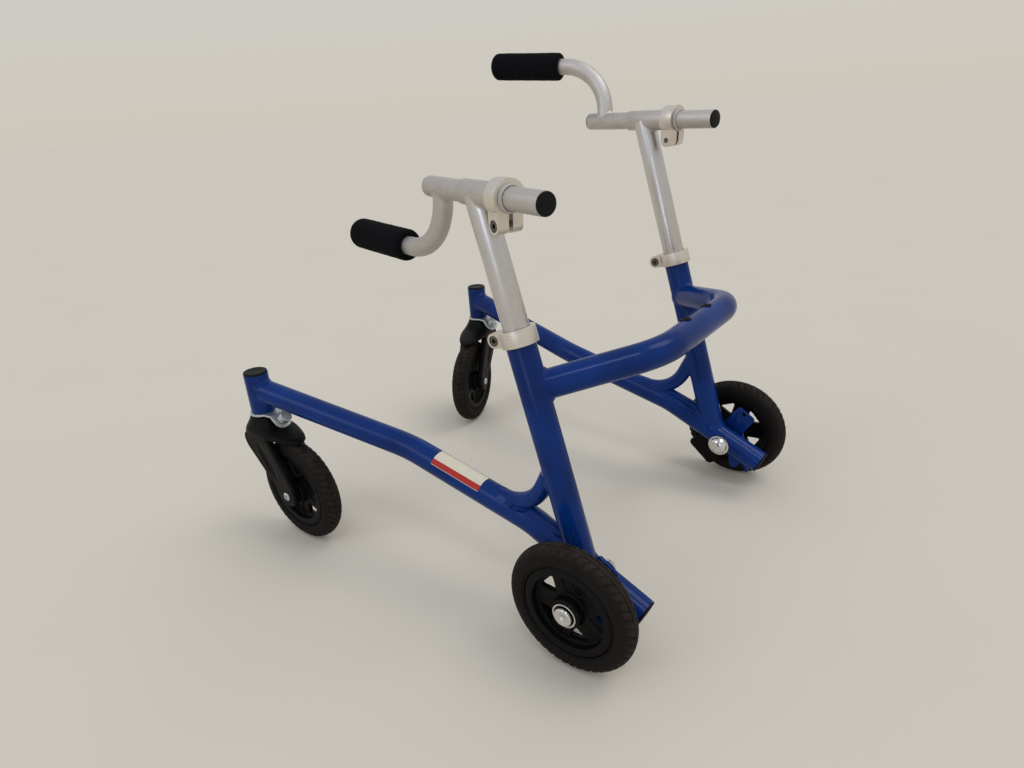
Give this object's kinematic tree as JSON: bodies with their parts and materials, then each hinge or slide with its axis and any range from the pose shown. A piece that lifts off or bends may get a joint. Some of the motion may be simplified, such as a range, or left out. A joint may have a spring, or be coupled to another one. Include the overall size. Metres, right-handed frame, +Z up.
{
  "type": "walker",
  "caption": "Low rear-crossbar walker: blue tube side frames on wheels, swivelling front casters, and clamped satin posts that carry sliding, turning foam hand grips.",
  "frame": {"origin": "on the floor under the middle of the whole walker as pictured", "axes": "+Z up, -Y the way the walker goes (the casters' end), +X the walker's own left side"},
  "size_m": [0.5319, 0.6095, 0.6265],
  "materials": {
    "blue_powder_coat": "glossy powder coat, deep blue",
    "satin_aluminium": "satin anodised, slightly warm, fine lines along the tube",
    "zinc_plated_steel": "zinc plated sheet, half bright",
    "chromed_steel": "bright chrome plate",
    "dark_screw_steel": "dark oxide screw steel",
    "black_moulded_plastic": "black glass-filled moulding, fine grain",
    "black_cap_plastic": "black pressed-in caps and plugs",
    "tyre_rubber": "solid rubber, dusty and brown on the shoulder",
    "grip_foam": "black closed-cell foam, matte",
    "grey_liner_plastic": "light grey moulded liner ring"
  },
  "bodies": {
    "frame": {"rear_crossbar": "blue_powder_coat", "left_crossbar_insert": "dark_screw_steel", "left_upright": "blue_powder_coat", "left_rail": "blue_powder_coat", "left_rail_plug": "black_cap_plastic", "left_gusset": "blue_powder_coat", "left_head_tube": "blue_powder_coat", "left_head_cap": "black_cap_plastic", "left_axle_plate": "blue_powder_coat", "left_stop_block": "black_moulded_plastic", "left_rear_axle": "chromed_steel", "left_lock_bracket": "zinc_plated_steel", "right_crossbar_insert": "dark_screw_steel", "right_upright": "blue_powder_coat", "right_rail": "blue_powder_coat", "right_rail_plug": "black_cap_plastic", "right_gusset": "blue_powder_coat", "right_head_tube": "blue_powder_coat", "right_head_cap": "black_cap_plastic", "right_axle_plate": "blue_powder_coat", "right_stop_block": "black_moulded_plastic", "right_rear_axle": "chromed_steel", "right_lock_bracket": "zinc_plated_steel"},
    "left_collar": {"left_height_collar": "satin_aluminium", "left_collar_screw": "dark_screw_steel"},
    "left_post": {"left_height_post": "satin_aluminium", "left_depth_clamp": "satin_aluminium", "left_clamp_screw": "dark_screw_steel"},
    "left_liner": {"left_handle_liner": "grey_liner_plastic"},
    "left_handle": {"left_handle_bar": "satin_aluminium", "left_handle_front_plug": "black_cap_plastic", "left_handle_rear_plug": "black_cap_plastic", "left_foam_grip": "grip_foam"},
    "left_fork": {"left_caster_fork": "black_moulded_plastic", "left_caster_axle": "chromed_steel"},
    "left_caster_wheel": {"left_caster_rim": "black_moulded_plastic", "left_caster_tyre": "tyre_rubber"},
    "left_rear_wheel": {"left_rear_rim": "black_moulded_plastic", "left_rear_tyre": "tyre_rubber", "left_rear_bearing": "chromed_steel"},
    "left_plunger": {"left_lock_plunger": "chromed_steel"},
    "right_collar": {"right_height_collar": "satin_aluminium", "right_collar_screw": "dark_screw_steel"},
    "right_post": {"right_height_post": "satin_aluminium", "right_depth_clamp": "satin_aluminium", "right_clamp_screw": "dark_screw_steel"},
    "right_liner": {"right_handle_liner": "grey_liner_plastic"},
    "right_handle": {"right_handle_bar": "satin_aluminium", "right_handle_front_plug": "black_cap_plastic", "right_handle_rear_plug": "black_cap_plastic", "right_foam_grip": "grip_foam"},
    "right_fork": {"right_caster_fork": "black_moulded_plastic", "right_caster_axle": "chromed_steel"},
    "right_caster_wheel": {"right_caster_rim": "black_moulded_plastic", "right_caster_tyre": "tyre_rubber"},
    "right_rear_wheel": {"right_rear_rim": "black_moulded_plastic", "right_rear_tyre": "tyre_rubber", "right_rear_bearing": "chromed_steel"},
    "right_plunger": {"right_lock_plunger": "chromed_steel"}
  },
  "joints": [
    {"name": "left_handle_turn", "type": "hinge", "parent": "frame", "child": "left_collar", "pos_m": [0.1871, 0.1437, 0.343], "axis": [0, -0.2675, 0.9636], "range_deg": [-26.8, 63.2]},
    {"name": "left_height_slide", "type": "slide", "parent": "left_collar", "child": "left_post", "axis": [0, -0.2675, 0.9636], "range_m": [-0.085, 0.09]},
    {"name": "left_handle_roll", "type": "hinge", "parent": "left_post", "child": "left_liner", "pos_m": [0.1871, 0.10509, 0.4821], "axis": [0.3123, 0.9499, -0.0131], "range_deg": [-180, 15]},
    {"name": "left_depth_slide", "type": "slide", "parent": "left_liner", "child": "left_handle", "axis": [0.3123, 0.9499, -0.0131], "range_m": [-0.045, 0.03]},
    {"name": "left_caster_swivel", "type": "hinge", "parent": "frame", "child": "left_fork", "pos_m": [0.238, -0.2739, 0.18], "axis": [0, 0, 1], "continuous": true},
    {"name": "left_caster_roll", "type": "hinge", "parent": "left_fork", "child": "left_caster_wheel", "pos_m": [0.238, -0.2187, 0.075], "axis": [1, 0, 0], "continuous": true},
    {"name": "left_rear_roll", "type": "hinge", "parent": "frame", "child": "left_rear_wheel", "pos_m": [0.2378, 0.23, 0.075], "axis": [1, 0, 0], "continuous": true},
    {"name": "left_lock_pull", "type": "slide", "parent": "frame", "child": "left_plunger", "axis": [-0.1066, 0.7586, 0.6428], "range_m": [0, 0.002], "stiffness_N_per_m": 400, "springref_m": -0.003},
    {"name": "right_handle_turn", "type": "hinge", "parent": "frame", "child": "right_collar", "pos_m": [-0.1871, 0.1437, 0.343], "axis": [0, -0.2675, 0.9636], "range_deg": [-35, 55]},
    {"name": "right_height_slide", "type": "slide", "parent": "right_collar", "child": "right_post", "axis": [0, -0.2675, 0.9636], "range_m": [-0.13, 0.045]},
    {"name": "right_handle_roll", "type": "hinge", "parent": "right_post", "child": "right_liner", "pos_m": [-0.1871, 0.09315, 0.5251], "axis": [-0.1736, -0.9848, 0.0044], "range_deg": [-160, 35]},
    {"name": "right_depth_slide", "type": "slide", "parent": "right_liner", "child": "right_handle", "axis": [0.1736, 0.9848, -0.0044], "range_m": [-0.045, 0.03]},
    {"name": "right_caster_swivel", "type": "hinge", "parent": "frame", "child": "right_fork", "pos_m": [-0.238, -0.2739, 0.18], "axis": [0, 0, 1], "continuous": true},
    {"name": "right_caster_roll", "type": "hinge", "parent": "right_fork", "child": "right_caster_wheel", "pos_m": [-0.1853, -0.25749, 0.075], "axis": [0.2974, -0.9548, 0], "continuous": true},
    {"name": "right_rear_roll", "type": "hinge", "parent": "frame", "child": "right_rear_wheel", "pos_m": [-0.2378, 0.23, 0.075], "axis": [1, 0, 0], "continuous": true},
    {"name": "right_lock_pull", "type": "slide", "parent": "frame", "child": "right_plunger", "axis": [0.1066, 0.7586, 0.6428], "range_m": [0, 0.002], "stiffness_N_per_m": 400, "springref_m": -0.003}
  ]
}
